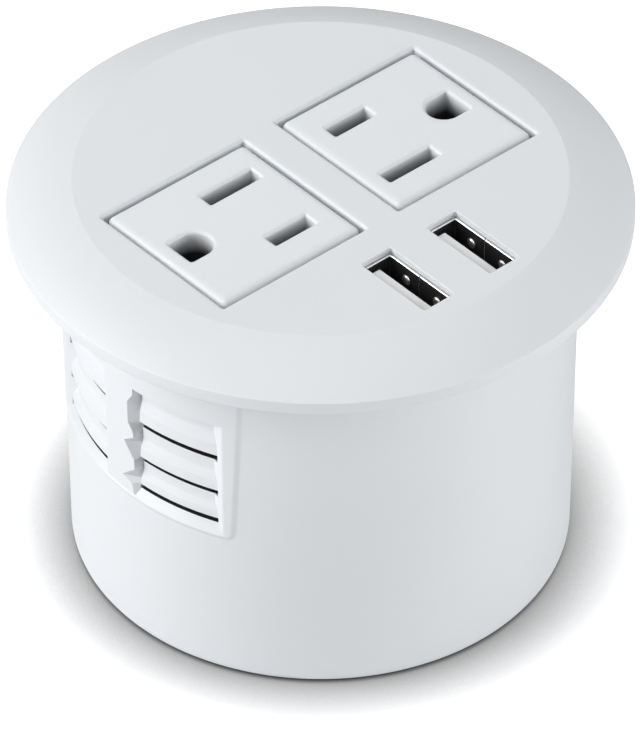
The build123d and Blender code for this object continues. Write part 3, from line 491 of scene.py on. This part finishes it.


# Housing cup: the round body that hangs below the desk, moulded in the same plastic as the flange.
# It tapers a little for the mould. A raised pad on each side frames a window of sloping louvres, which a
# toothed bar crosses. The inside, the blades' backs and the window's deepest walls are coloured near-black:
# painted shade for the dark interior.
cup_base_radius, cup_top_radius, cup_foot_round = 36.4, 36.95, 1.6
cup_slope = (cup_top_radius - cup_base_radius) / rim_foot
bore_base_radius, bore_top_radius, floor_top = 34.4, 34.95, 2.4
vent_turn = -2.2
pad_angle, pad_lean, pad_lean_height = 32.6, 0.075, 40.7
pad_foot, pad_rise, pad_corner, pad_soft = 25.8, 0.35, 1.4, 0.9
frame_radius, frame_head = 32.45, 49.2
frame_angle, window_angle, mouth_angle, bevel_angle = 31.5, 27.65, 29.2, 26.0
bevel_depth, slit_depth, window_round = 1.65, 0.8, 0.15
window_sill, sill_rise, sill_depth, window_top = 26.4, 1.3, 1.1, 46.6
blade_tops, blade_noses = (window_top, 39.1, 32.7), (40.4, 33.87, 28.67)
blade_thickness, blade_starts, blade_end = 1.0, {-1: 3.4, 1: 6.6}, 28.6
blade_line = ((0.0, 1.45, 0), (0.4, 1.5, 1.2), (0.7, 0.95, 1.0), (1.0, 0.8, 0.12))
corner_steps, blade_steps, foot_steps = 5, 24, 8
wall_step, row_step, pad_edge_step, pad_row_step, merge_slack = 1.5, 1.5, 0.15, 0.12, 1e-3
bar_left, bar_right, bar_front_depth = -3.9, 6.0, 0.15
bar_teeth = (
    (47.2, 5.6, 1.75), (45.3, 5.6, 1.75), (43.6, 3.9, 1.75), (39.8, 3.9, 1.75), (38.4, 5.4, 1.75),
    (37.4, 5.6, 1.75), (35.85, 2.4, 1.75), (33.2, 5.6, 1.75), (31.4, 5.6, 1.75), (29.05, 1.5, 1.75),
    (28.5, 4.6, 1.2), (25.9, 5.6, 0.2),
)


def cup_radius(height):
    """Outside radius of the cup's taper at a height."""
    return cup_base_radius + cup_slope * height


def pad_cover(angle, height):
    """Share of the pad's rise at (angle from its middle, height): 0 outside the pad and 1 on it, with a
    smooth step at its leaning sides and round lower corners, from the signed distance to its edge."""
    across = cup_base_radius * np.radians(np.abs(angle))
    reach = cup_base_radius * np.radians(pad_angle + pad_lean * (height - pad_lean_height))
    dx = across - (reach - pad_corner)
    dz = pad_foot + pad_corner - height
    outside = np.hypot(np.maximum(dx, 0), np.maximum(dz, 0)) + np.minimum(np.maximum(dx, dz), 0) - pad_corner
    t = np.clip(0.5 - outside / pad_soft, 0, 1)
    return t * t * (3 - 2 * t)


def cup_surface(angle, height, depth=0.0):
    """Radius of the cup's outside at (angle from the vent's middle, height), sunk by depth."""
    return cup_radius(height) + pad_rise * pad_cover(angle, height) - depth


def cup_points(radius, degrees, height):
    """(x, y, z) of points given by radius, angle about the cup's axis and height."""
    a = np.radians(degrees)
    return np.stack([radius * np.cos(a), radius * np.sin(a), height + 0 * a], axis=-1)


mouth_edge = mouth_angle + np.degrees(window_round / cup_base_radius)
quarter_columns = np.unique(np.round(np.concatenate([
    np.arange(0, 90.1, wall_step), np.arange(30.3, 35.1, pad_edge_step),
    [window_angle, mouth_angle, mouth_edge],
]), 4))
half_columns = np.unique(np.concatenate([-quarter_columns, quarter_columns]))
vent_angle = np.concatenate([half_columns[:-1]] * 2)
columns = vent_angle + vent_turn + np.repeat([0.0, 180.0], len(half_columns) - 1)
foot_turn = np.linspace(0, pi / 2, foot_steps)
upright_rows = np.unique(np.round(np.concatenate([
    np.arange(cup_foot_round, rim_foot, row_step), np.arange(pad_foot - 0.3, pad_foot + 1.8, pad_row_step),
    [window_sill - window_round, window_sill, window_sill + sill_rise, window_top, window_top + window_round],
    [frame_head, frame_head + 0.05, rim_foot],
]), 4))


def open_cells(rows, reach, low, high):
    """True for wall cells that lie inside a window."""
    following = np.roll(vent_angle, -1)
    wide = np.maximum(np.abs(vent_angle), np.abs(following)) <= reach + merge_slack
    tall = (rows[:-1] >= low - merge_slack) & (rows[1:] <= high + merge_slack)
    return tall[:, None] & wide[None, :]


def pierced_skin(points, cells_open):
    """Skin of a grid of points with the cells of its windows left out."""
    flat, faces = skin(points)
    keep = ~cells_open.reshape(-1)
    return flat, [face for face, kept in zip(faces, keep) if kept]


outer_rows = np.concatenate([cup_foot_round * (1 - np.cos(foot_turn[:-1])), upright_rows])
outer_inset = np.concatenate([cup_foot_round * (1 - np.sin(foot_turn[:-1])), 0 * upright_rows])
outer_points = np.stack([
    cup_points(cup_surface(vent_angle, z) - inset, columns, z) for z, inset in zip(outer_rows, outer_inset)
])
outer_open = open_cells(outer_rows, mouth_edge, window_sill - window_round, window_top + window_round)

inner_rows = np.unique(np.concatenate([[floor_top], upright_rows[upright_rows > floor_top + 0.2]]))
inner_points = []
for z in inner_rows:
    bore = bore_base_radius + (z - floor_top) * (bore_top_radius - bore_base_radius) / (rim_foot - floor_top)
    framed = (np.abs(vent_angle) <= frame_angle) & (pad_foot - 0.01 <= z <= frame_head + 0.01)
    inner_points.append(cup_points(np.where(framed, frame_radius, bore), columns, z))
inner_points = np.stack(inner_points)
inner_open = open_cells(inner_rows, window_angle, window_sill + sill_rise, window_top)


def window_reveal(facing):
    """Walls of the window: the edge of its mouth carried inwards, with bevelled ends and a sloping sill. At
    each depth the edge's angles and heights are clipped to that depth's bounds."""
    span = half_columns[np.abs(half_columns) <= mouth_edge + merge_slack]
    low, high = window_sill - window_round, window_top + window_round
    rise = upright_rows[(upright_rows >= low - merge_slack) & (upright_rows <= high + merge_slack)]
    ends = len(rise) - 2
    angle = np.concatenate([span, np.full(ends, span[-1]), span[::-1], np.full(ends, span[0])])
    height = np.concatenate([
        np.full(len(span), rise[0]), rise[1:-1], np.full(len(span), rise[-1]), rise[-2:0:-1]
    ])
    turn = np.linspace(0, pi / 2, 4)
    depths = np.concatenate([window_round * (1 - np.cos(turn)), [0.5, slit_depth, sill_depth, bevel_depth]])
    spreads = np.concatenate([window_round * (1 - np.sin(turn)), [0.0, 0.0, 0.0, 0.0]])
    loops = []
    for depth, spread in zip(depths, spreads):
        share = min(depth / slit_depth, 1)
        end = mouth_angle - (mouth_angle - window_angle) * share + np.degrees(spread / cup_base_radius)
        sill = window_sill - spread + sill_rise * min(depth / sill_depth, 1)
        a = np.clip(angle, -end, end)
        z = np.clip(height, sill, window_top + spread)
        loops.append(cup_points(cup_surface(a, z, depth), facing + a, z))
    a = np.clip(angle, -window_angle, window_angle)
    z = np.clip(height, window_sill + sill_rise, window_top)
    loops.append(cup_points(np.full(len(a), frame_radius), facing + a, z))
    # The deepest walls take the near-black lining: painted shade.
    return skin(loops[:-2]), (*skin(loops[-3:]), 1)


def louvre(facing, side, top, nose):
    """Blade: a hollowed section from its top edge out to a short upright nose, carried round the cup."""
    outer = []
    for share, depth, rounding in blade_line:
        height = top + share * (nose - top)
        outer.append((cup_radius(height) + pad_rise - depth, height, rounding))
    inner = [(radius - blade_thickness, height, rounding) for radius, height, rounding in outer[::-1]]
    section = rounded_profile(outer + inner, corner_steps)
    count = len(section)
    blade_face_steps = corner_steps * (len(blade_line) - 1)
    angles = np.linspace(blade_starts[side], blade_end, blade_steps)
    points, faces = skin([
        cup_points(section[:, 0], np.full(count, facing + side * a), section[:, 1]) for a in angles
    ])
    seen = [i % count < blade_face_steps for i in range(len(faces))]
    front = [face for face, held in zip(faces, seen) if held]
    back = [face for face, held in zip(faces, seen) if not held]
    front += [tuple(range(count)), tuple(range(len(points) - count, len(points)))]
    # The blade's back faces take the near-black lining: painted shade.
    return (points, front), (points, back, 1)


def bevel_wedge(facing, side, top, nose):
    """Wedge at a blade's outer end, whose face carries the window's bevel on down to the blade."""
    corners = (
        (window_angle, slit_depth), (bevel_angle, bevel_depth), (window_angle + 0.6, bevel_depth + 0.3),
    )
    loops = []
    for height in (top, nose):
        radius = np.array([cup_radius(height) + pad_rise - depth for _, depth in corners])
        angle = np.array([facing + side * a for a, _ in corners])
        loops.append(cup_points(radius, angle, np.full(3, height)))
    points, faces = skin(loops)
    return points, faces + [(0, 1, 2), (3, 4, 5)]


def toothed_bar(facing):
    """Upright bar across the window, with a plain front whose right-hand edge runs in and out as a row of
    teeth. At each height the flank falls back in a straight line from that edge to the bar's side."""
    loops = []
    for height, edge, flank_depth in bar_teeth:
        face_radius = cup_radius(height) + pad_rise
        front, flank = face_radius - bar_front_depth, face_radius - flank_depth
        radius = np.array([frame_radius, front, front, front, flank, frame_radius])
        angle = np.array([bar_left, bar_left, (bar_left + edge) / 2, edge, bar_right, bar_right])
        loops.append(cup_points(radius, facing + angle, np.full(6, height)))
    points, faces = skin(loops)
    faces += [tuple(range(6)), tuple(range(len(points) - 6, len(points)))]
    return points, faces


# Pillars on the cup's floor: under the power board and for the cord collar, each set with its radius, head
# and hole depth. The case screws rise through their own sockets, and the cord through the inlet.
standoff_spots = [(x, y) for x in (-14.0, 14.0) for y in (-24.0, 6.0)]
clamp_spots = [(-11.6, 15.5), (11.6, 15.5)]
pillars = ((standoff_spots, 2.4, 8.0, 5.6), (clamp_spots, 3.0, 10.0, 6.0))
pillar_bore = 1.05
socket_radius, socket_head, socket_bore = 3.7, 12.0, 1.65
recess_radius, recess_head, recess_mouth = 3.1, 3.0, 3.5
inlet_spot, inlet_radius, inlet_mouth, inlet_chamfer = (0.0, 15.5), 5.95, 6.15, 0.2
small_steps, inlet_steps = 48, 96
# Painted shade: the cup's inside, the backs of the blades and the window's deepest walls take this near-black
# colour for the dark interior.
painted_inside_shade = moulded("painted_inside_shade", (0.012, 0.012, 0.013), 0.6, 2500.0, 0.3, 0.3)
cup_parts = [
    pierced_skin(outer_points, outer_open),
    (*pierced_skin(inner_points, inner_open), 1),
    skin([outer_points[-1], inner_points[-1]]),
]
for facing in (vent_turn, 180 + vent_turn):
    cup_parts.extend(window_reveal(facing))
    cup_parts.append(toothed_bar(facing))
    for side in (-1, 1):
        for top, nose in zip(blade_tops, blade_noses):
            cup_parts.extend(louvre(facing, side, top, nose))
            cup_parts.append(bevel_wedge(facing, side, top, nose))
base_holes, floor_holes = [], []
for spot in post_spots:
    cup_parts.append(turned(rounded_profile([
        (socket_radius, floor_top, 0), (socket_radius, socket_head, 0.3), (socket_bore, socket_head, 0),
        (socket_bore, recess_head, 0), (recess_radius, recess_head, 0), (recess_radius, 0, 0.2),
        (recess_mouth, 0, 0),
    ]), spot, small_steps))
    base_holes.append(circle(recess_mouth, spot, small_steps))
    floor_holes.append(circle(socket_radius, spot, small_steps))
for spots, radius, head, depth in pillars:
    for spot in spots:
        cup_parts.append(turned(rounded_profile([
            (radius, floor_top, 0), (radius, head, 0.25), (pillar_bore, head, 0),
            (pillar_bore, head - depth, 0), (axis_radius, head - depth, 0),
        ]), spot, small_steps))
        floor_holes.append(circle(radius, spot, small_steps))
inlet_profile = [(inlet_radius, floor_top), (inlet_radius, inlet_chamfer), (inlet_mouth, 0)]
cup_parts.append(turned(inlet_profile, inlet_spot, inlet_steps))
base_holes.append(circle(inlet_mouth, inlet_spot, inlet_steps))
floor_holes.append(circle(inlet_radius, inlet_spot, inlet_steps))
cup_parts.append(flat_face(outer_points[0, :, :2], base_holes, 0.0))
cup_parts.append((*flat_face(inner_points[0, :, :2], floor_holes, floor_top), 1))
piece_from(
    "vented_cup", cup_parts, housing_white, ["housing_cup"], lining=painted_inside_shade
)


# Outlet faces: two square inserts in a slightly warmer white, pushed up into the pockets from below.
# Each has a long and a short blade slot, and an earth hole that is round on its inner side.
face_half, face_corner, face_round, lip_half, lip_foot = 12.7, 1.0, 1.2, 14.6, 52.4
slot_x, slot_y, slot_half_width, mouth_round = 5.0, 6.38, 1.18, 0.6
neutral_half, hot_half = 4.7, 3.7
earth_x, earth_radius, earth_flat = -7.15, 2.6, 2.8
outlet_white = moulded("outlet_white", (0.765, 0.79, 0.81), roughness=0.36)

face_profile = rounded_profile([
    (-face_round - 0.4, module_height, 0), (0, module_height, face_round), (0, pocket_foot, 0),
    (lip_half - face_half, pocket_foot, 0.1), (lip_half - face_half, lip_foot, 0.1),
    (lip_half - face_half - 1, lip_foot, 0),
])
mouth_profile = rounded_profile([
    (mouth_round + 0.2, module_height, 0), (0, module_height, mouth_round), (0, lip_foot, 0.1),
    (0.3, lip_foot, 0),
])
mouth_rows, mouth_steps, slot_corner, earth_corner = 7, 10, 0.12, 0.35
shade_top, shade_foot, shade_floor = 63.2, 60.2, 0.02

# The colour of the walls below each mouth is darkened towards their foot: painted shade for narrow slots that
# little light gets into. The first rows of a mouth, its rounded edge, keep the insert's own white.
slot_shade = moulded("slot_shade", (0.765, 0.79, 0.81), roughness=0.5)
made = slot_shade.node_tree.nodes
wire = slot_shade.node_tree.links.new
place = made.new("ShaderNodeTexCoord")
split = made.new("ShaderNodeSeparateXYZ")
wire(place.outputs["Object"], split.inputs[0])
# Painted shade: the colour falls from the insert's white at shade_top to shade_floor at shade_foot.
fade = made.new("ShaderNodeMapRange")
fade.inputs["From Min"].default_value = shade_foot * 0.001
fade.inputs["From Max"].default_value = shade_top * 0.001
fade.inputs["To Min"].default_value = shade_floor
wire(split.outputs["Z"], fade.inputs["Value"])
dimmed = made.new("ShaderNodeVectorMath")
dimmed.operation = "SCALE"
surface = next(node for node in made if node.bl_idname == "ShaderNodeGroup")
wire(surface.outputs["Color"], dimmed.inputs[0])
wire(fade.outputs[0], dimmed.inputs["Scale"])
wire(dimmed.outputs[0], made["Principled BSDF"].inputs["Base Color"])


def face_loop(side, spread):
    """Square loop of one insert with round corners, moved outwards by spread."""
    half = face_half + spread
    return rounded_rectangle(half, half, [max(face_corner + spread, 0.12)] * 4, (side * outlet_x, 0))


def mouth_loop(side, name, spread):
    """Loop of one slot or earth hole, moved outwards by spread. An insert's own -x points away from the
    module's middle, so the right-hand insert is the left-hand one turned half round."""
    if name == "earth":
        half_x, x, y = (earth_radius + earth_flat) / 2, earth_x + (earth_radius - earth_flat) / 2, 0
        half_y = earth_radius
        corners = [earth_radius - 0.01, earth_corner, earth_corner, earth_radius - 0.01]
    else:
        half_x = neutral_half if name == "neutral" else hot_half
        half_y, x, y = slot_half_width, slot_x, slot_y if name == "neutral" else -slot_y
        corners = [slot_corner] * 4
    spread_corners = [corner + spread for corner in corners]
    loop = rounded_rectangle(half_x + spread, half_y + spread, spread_corners, (x, y), mouth_steps)
    return np.array([side * outlet_x, 0]) - side * loop


for label, side in (("left", -1), ("right", 1)):
    face_parts = [skin([at_height(face_loop(side, spread), height) for spread, height in face_profile])]
    mouths_above, mouths_below = [], []
    for name in ("neutral", "hot", "earth"):
        loops = [at_height(mouth_loop(side, name, spread), height) for spread, height in mouth_profile]
        face_parts.append(skin(loops[:mouth_rows]))
        face_parts.append((*skin(loops[mouth_rows - 1:]), 1))
        mouths_above.append(loops[0][:, :2])
        mouths_below.append(loops[-1][:, :2])
    face_parts.append(flat_face(face_loop(side, face_profile[0][0]), mouths_above, module_height))
    face_parts.append(flat_face(face_loop(side, face_profile[-1][0]), mouths_below, lip_foot))
    piece_from(
        "outlet_insert_" + label, face_parts, outlet_white, ["outlet_face_" + label],
        lining=slot_shade,
    )


# USB shells: nickel-plated steel strip folded into a box, with its seam in the middle of one long side.
# Two dimples pressed into that side grip the plug, and the strip's cut edges show all round the mouth.
shell_half_x, shell_half_y, shell_wall, shell_foot, shell_head = 2.6, 6.45, 0.35, 49.4, 63.15
seam_half, dimple_radius, dimple_height, dimple_drop = 0.1, 0.8, 0.35, 2.3
shell_edge, shell_outer_corner, shell_inner_corner = 0.07, 0.55, 0.2
dimple_spots = (-3.7, 2.7)
dome_steps = 32
dome_turn = np.linspace(0, pi / 2, 8)

plated_strip, into, out_of = node_group(
    "plated_strip",
    [("Color", "NodeSocketColor", (0.7, 0.7, 0.7, 1.0)), ("Roughness", "NodeSocketFloat", 0.25)],
    [("Color", "NodeSocketColor"), ("Roughness", "NodeSocketFloat"), ("Normal", "NodeSocketVector")],
)
made = plated_strip.nodes
wire = plated_strip.links.new
place = made.new("ShaderNodeTexCoord")
along = made.new("ShaderNodeMapping")
along.inputs["Scale"].default_value = (1.0, 1.0, 0.06)
wire(place.outputs["Object"], along.inputs["Vector"])
lines = made.new("ShaderNodeTexNoise")
lines.inputs["Scale"].default_value = 6000.0
lines.inputs["Detail"].default_value = 4.0
wire(along.outputs[0], lines.inputs["Vector"])
marks = made.new("ShaderNodeBump")
marks.inputs["Strength"].default_value = 0.12
marks.inputs["Distance"].default_value = 0.00002
wire(lines.outputs[0], marks.inputs["Height"])
wire(marks.outputs[0], out_of.inputs["Normal"])
dull = made.new("ShaderNodeMath")
dull.operation = "MULTIPLY_ADD"
dull.inputs[1].default_value = 0.2
wire(lines.outputs[0], dull.inputs[0])
wire(into.outputs["Roughness"], dull.inputs[2])
wire(dull.outputs[0], out_of.inputs["Roughness"])
tarnish = made.new("ShaderNodeTexNoise")
tarnish.inputs["Scale"].default_value = 260.0
wire(place.outputs["Object"], tarnish.inputs["Vector"])
bright = made.new("ShaderNodeMapRange")
bright.inputs["To Min"].default_value = 0.82
bright.inputs["To Max"].default_value = 1.06
wire(tarnish.outputs[0], bright.inputs["Value"])
stained = made.new("ShaderNodeVectorMath")
stained.operation = "SCALE"
wire(into.outputs["Color"], stained.inputs[0])
wire(bright.outputs[0], stained.inputs["Scale"])
wire(stained.outputs[0], out_of.inputs["Color"])


def plated(name, color, roughness):
    """Material of a plated or plain metal strip, drawn along its height."""
    material = bpy.data.materials.new(name)
    material.use_nodes = True
    nodes, links = material.node_tree.nodes, material.node_tree.links
    shader = nodes["Principled BSDF"]
    shader.inputs["Metallic"].default_value = 1.0
    surface = nodes.new("ShaderNodeGroup")
    surface.node_tree = plated_strip
    surface.inputs["Color"].default_value = (*color, 1.0)
    surface.inputs["Roughness"].default_value = roughness
    links.new(surface.outputs["Color"], shader.inputs["Base Color"])
    links.new(surface.outputs["Roughness"], shader.inputs["Roughness"])
    links.new(surface.outputs["Normal"], shader.inputs["Normal"])
    return material


shell_steel = plated("usb_shell_steel", (0.72, 0.73, 0.74), 0.22)
# Painted shade: the shell's inner faces take a dark steel colour for the dark inside of the socket.
shell_painted_shade = plated("usb_shell_inside", (0.10, 0.10, 0.105), 0.35)


def folded_strip(side):
    """Closed section of the folded strip: out along its outer line from the seam and back along its inner
    line, so that the two ends face each other across the seam."""
    centre = (side * usb_x, usb_y)
    lines = []
    for inset, corner in ((0.0, shell_outer_corner), (shell_wall, shell_inner_corner)):
        loop = rounded_rectangle(shell_half_x - inset, shell_half_y - inset, [corner] * 4, (0, 0), 6)
        x = shell_half_x - inset
        line = np.concatenate([[(x, seam_half)], loop, [(x, -seam_half)]])
        lines.append(line + np.array(centre))
    return lines


for label, side in (("left", -1), ("right", 1)):
    outer_line, inner_line = folded_strip(side)
    section = np.concatenate([outer_line, inner_line[::-1]])
    count = len(outer_line)
    total = 2 * count
    middle = (outer_line + inner_line) / 2
    middle_section = np.concatenate([middle, middle[::-1]])
    shrink = shell_edge / (shell_wall / 2)
    narrow = section + (middle_section - section) * shrink
    levels = [(section, shell_foot), (section, shell_head - shell_edge), (narrow, shell_head)]
    strip_points, strip_faces = skin([at_height(loop, height) for loop, height in levels])
    caps = []
    for start in (0, 2 * total):
        last = start + total - 1
        caps += [(start + i, start + i + 1, last - 1 - i, last - i) for i in range(count - 1)]
    within = [count <= i < total - 1 for i in range(len(strip_faces))]
    inner_faces = [face for face, held in zip(strip_faces, within) if held]
    other_faces = [face for face, held in zip(strip_faces, within) if not held]
    shell_parts = [(strip_points, other_faces + caps), (strip_points, inner_faces, 1)]
    wall_x = side * usb_x + shell_half_x - shell_wall
    for spot in dimple_spots:
        rings = []
        around = np.arange(dome_steps) * 2 * pi / dome_steps
        for a in dome_turn:
            reach = dimple_radius * np.cos(a) + axis_radius
            rings.append(np.stack([
                np.full(dome_steps, wall_x - dimple_height * np.sin(a)),
                usb_y + spot + reach * np.cos(around),
                shell_head - dimple_drop + reach * np.sin(around),
            ], axis=1))
        rings.insert(0, np.stack([np.full(dome_steps, wall_x + 0.1), rings[0][:, 1], rings[0][:, 2]], axis=1))
        dome = skin(rings)
        dome[1].append(tuple(range(dome_steps)))
        dome[1].append(tuple(range((len(rings) - 1) * dome_steps, len(rings) * dome_steps)))
        shell_parts.append(dome)
    piece_from(
        "usb_socket_shell_" + label, shell_parts, shell_steel, ["usb_shell_" + label],
        lining=shell_painted_shade,
    )


# USB tongues: pale plastic blades that stand in the shells and carry the four gold contacts.
# The top edge is bevelled so that a plug finds its way, and a block below closes the shell.
tongue_half_x, tongue_half_y, tongue_head, tongue_bevel = 0.95, 5.55, 62.5, 0.25
tongue_x, tongue_corner, block_corner, moulding_steps = -1.15, 0.15, 0.2, 4
block_half_x, block_half_y, block_head = 2.1, 5.95, 51.4
tongue_white = moulded("usb_tongue_white", (0.86, 0.87, 0.88), roughness=0.42)


def tongue_loop(side, inset, height):
    """Oblong loop of the blade's outline, drawn in by inset."""
    loop = rounded_rectangle(
        tongue_half_x - inset, tongue_half_y - inset, [tongue_corner] * 4, (side * usb_x + tongue_x, usb_y),
        moulding_steps,
    )
    return at_height(loop, height)


for label, side in (("left", -1), ("right", 1)):
    blade = skin([
        tongue_loop(side, 0, shell_foot + 0.5),
        tongue_loop(side, 0, tongue_head - tongue_bevel),
        tongue_loop(side, tongue_bevel / 3, tongue_head - tongue_bevel / 3),
        tongue_loop(side, tongue_bevel, tongue_head),
    ])
    blade_count = len(tongue_loop(side, 0, 0))
    blade[1].append(tuple(range(blade_count)))
    blade[1].append(tuple(range(3 * blade_count, 4 * blade_count)))
    block_outline = rounded_rectangle(
        block_half_x, block_half_y, [block_corner] * 4, (side * usb_x, usb_y), moulding_steps
    )
    block = skin([at_height(block_outline, height) for height in (shell_foot, block_head)])
    block[1].append(tuple(range(len(block_outline))))
    block[1].append(tuple(range(len(block_outline), 2 * len(block_outline))))
    piece_from(
        "usb_blade_" + label, [blade, block], tongue_white, ["usb_tongue_" + label]
    )


# Inner parts: contacts, bars, boards, leads and screws keep their CAD shapes and get their finish here.
# The metals are stamped, the boards are glass laminate, and the rest are mouldings, sleeves and tape.
finishes = {
    "contact_brass": plated("contact_brass", (0.78, 0.60, 0.30), 0.25),
    "terminal_brass": plated("terminal_brass", (0.72, 0.56, 0.30), 0.30),
    "usb_contact_gold": plated("usb_contact_gold", (0.85, 0.66, 0.28), 0.20),
    "screw_steel": plated("screw_steel", (0.56, 0.57, 0.58), 0.30),
    "copper_winding": plated("copper_winding", (0.62, 0.30, 0.15), 0.35),
    "carrier_black": moulded("carrier_black", (0.035, 0.035, 0.038), 0.5, 2500.0, 0.2, 0.2),
    "insulator_grey": moulded("insulator_grey", (0.30, 0.30, 0.29), 0.7, 1800.0, 0.4, 0.2),
    "board_green": moulded("board_green", (0.02, 0.13, 0.05), 0.3, 900.0, 0.2, 0.3),
    "ferrite_grey": moulded("ferrite_grey", (0.03, 0.03, 0.034), 0.6, 4000.0, 0.5, 0.3),
    "winding_tape": moulded("winding_tape", (0.60, 0.40, 0.03), 0.25, 700.0, 0.2, 0.15),
    "capacitor_sleeve": moulded("capacitor_sleeve", (0.012, 0.014, 0.022), 0.25, 900.0, 0.1, 0.2),
    "film_yellow": moulded("film_yellow", (0.55, 0.36, 0.02), 0.3, 1500.0, 0.15, 0.1),
    "fuse_black": moulded("fuse_black", (0.015, 0.015, 0.017), 0.3, 1500.0, 0.15, 0.2),
    "rectifier_black": moulded("rectifier_black", (0.012, 0.012, 0.013), 0.5, 3000.0, 0.4, 0.2),
    "lead_black": moulded("lead_black", (0.012, 0.012, 0.012), 0.4, 1500.0, 0.15, 0.2),
    "lead_white": moulded("lead_white", (0.68, 0.68, 0.66), 0.4, 1500.0, 0.15, 0.05),
    "lead_red": moulded("lead_red", (0.36, 0.012, 0.010), 0.4, 1500.0, 0.15, 0.1),
    "bush_black": moulded("bush_black", (0.018, 0.018, 0.019), 0.5, 2500.0, 0.25, 0.2),
    "housing_white": housing_white,
    "outlet_white": outlet_white,
    "usb_shell_steel": shell_steel,
    "usb_tongue_white": tongue_white,
}
for entry in frame["record"]["subparts"]:
    shown = cad[entry["node"]]
    if not shown.material_slots:
        shown.data.materials.append(None)
    for held in shown.material_slots:
        held.material = finishes[entry["material_slot"]]
